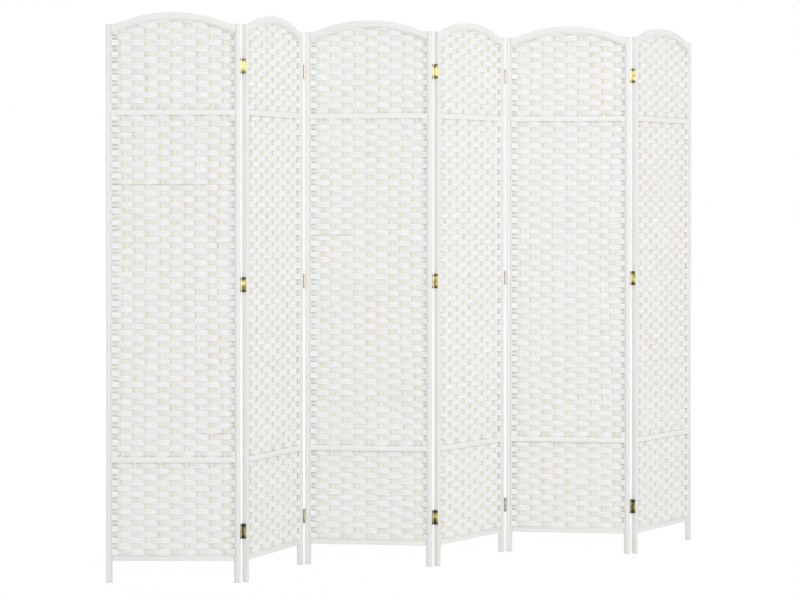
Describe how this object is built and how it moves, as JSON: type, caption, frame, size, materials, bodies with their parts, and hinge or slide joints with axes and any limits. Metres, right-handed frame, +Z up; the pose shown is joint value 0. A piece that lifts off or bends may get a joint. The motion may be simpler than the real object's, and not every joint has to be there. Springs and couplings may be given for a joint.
{
  "type": "accordion folding partition",
  "caption": "Free-standing folding screen: arched white wooden frames with basket-woven cord infills, joined by brass butt hinges.",
  "frame": {"origin": "on the floor, under the middle of the standing screen's footprint", "axes": "+X along the run of panels from panel_1 to panel_6, +Y from the fronts of the panels to their backs, +Z up"},
  "size_m": [2.0862, 0.2942, 1.7],
  "materials": {
    "white_paint": "white paint, satin, on wood",
    "woven_cord": "matt white twisted paper cord woven over beige stakes",
    "brass": "polished, slightly worn"
  },
  "bodies": {
    "panel_1": {"panel_1_left_stile": "white_paint", "panel_1_right_stile": "white_paint", "panel_1_top_rail": "white_paint", "panel_1_bottom_rail": "white_paint", "panel_1_woven_infill": "woven_cord", "bottom_bored_leaf_1": "brass", "middle_bored_leaf_1": "brass", "top_bored_leaf_1": "brass"},
    "panel_2": {"panel_2_left_stile": "white_paint", "panel_2_right_stile": "white_paint", "panel_2_top_rail": "white_paint", "panel_2_bottom_rail": "white_paint", "panel_2_woven_infill": "woven_cord", "bottom_pinned_leaf_1": "brass", "middle_pinned_leaf_1": "brass", "top_pinned_leaf_1": "brass", "bottom_bored_leaf_2": "brass", "middle_bored_leaf_2": "brass", "top_bored_leaf_2": "brass"},
    "panel_3": {"panel_3_left_stile": "white_paint", "panel_3_right_stile": "white_paint", "panel_3_top_rail": "white_paint", "panel_3_bottom_rail": "white_paint", "panel_3_woven_infill": "woven_cord", "bottom_pinned_leaf_2": "brass", "middle_pinned_leaf_2": "brass", "top_pinned_leaf_2": "brass", "bottom_bored_leaf_3": "brass", "middle_bored_leaf_3": "brass", "top_bored_leaf_3": "brass"},
    "panel_4": {"panel_4_left_stile": "white_paint", "panel_4_right_stile": "white_paint", "panel_4_top_rail": "white_paint", "panel_4_bottom_rail": "white_paint", "panel_4_woven_infill": "woven_cord", "bottom_pinned_leaf_3": "brass", "middle_pinned_leaf_3": "brass", "top_pinned_leaf_3": "brass", "bottom_bored_leaf_4": "brass", "middle_bored_leaf_4": "brass", "top_bored_leaf_4": "brass"},
    "panel_5": {"panel_5_left_stile": "white_paint", "panel_5_right_stile": "white_paint", "panel_5_top_rail": "white_paint", "panel_5_bottom_rail": "white_paint", "panel_5_woven_infill": "woven_cord", "bottom_pinned_leaf_4": "brass", "middle_pinned_leaf_4": "brass", "top_pinned_leaf_4": "brass", "bottom_bored_leaf_5": "brass", "middle_bored_leaf_5": "brass", "top_bored_leaf_5": "brass"},
    "panel_6": {"panel_6_left_stile": "white_paint", "panel_6_right_stile": "white_paint", "panel_6_top_rail": "white_paint", "panel_6_bottom_rail": "white_paint", "panel_6_woven_infill": "woven_cord", "bottom_pinned_leaf_5": "brass", "middle_pinned_leaf_5": "brass", "top_pinned_leaf_5": "brass"}
  },
  "joints": [
    {"name": "fold_1", "type": "hinge", "parent": "panel_1", "child": "panel_2", "pos_m": [-0.68021, -0.10549, 0.888], "axis": [0, 0, 1], "range_deg": [-67.3, 112.7]},
    {"name": "fold_2", "type": "hinge", "parent": "panel_2", "child": "panel_3", "pos_m": [-0.35501, 0.13352, 0.888], "axis": [0, 0, -1], "range_deg": [-75, 105]},
    {"name": "fold_3", "type": "hinge", "parent": "panel_3", "child": "panel_4", "pos_m": [-0.01483, -0.08362, 0.888], "axis": [0, 0, 1], "range_deg": [-64.4, 115.6]},
    {"name": "fold_4", "type": "hinge", "parent": "panel_4", "child": "panel_5", "pos_m": [0.34879, 0.09149, 0.888], "axis": [0, 0, -1], "range_deg": [-65.5, 114.5]},
    {"name": "fold_5", "type": "hinge", "parent": "panel_5", "child": "panel_6", "pos_m": [0.68474, -0.13214, 0.888], "axis": [0, 0, 1], "range_deg": [-66.1, 113.9]}
  ]
}
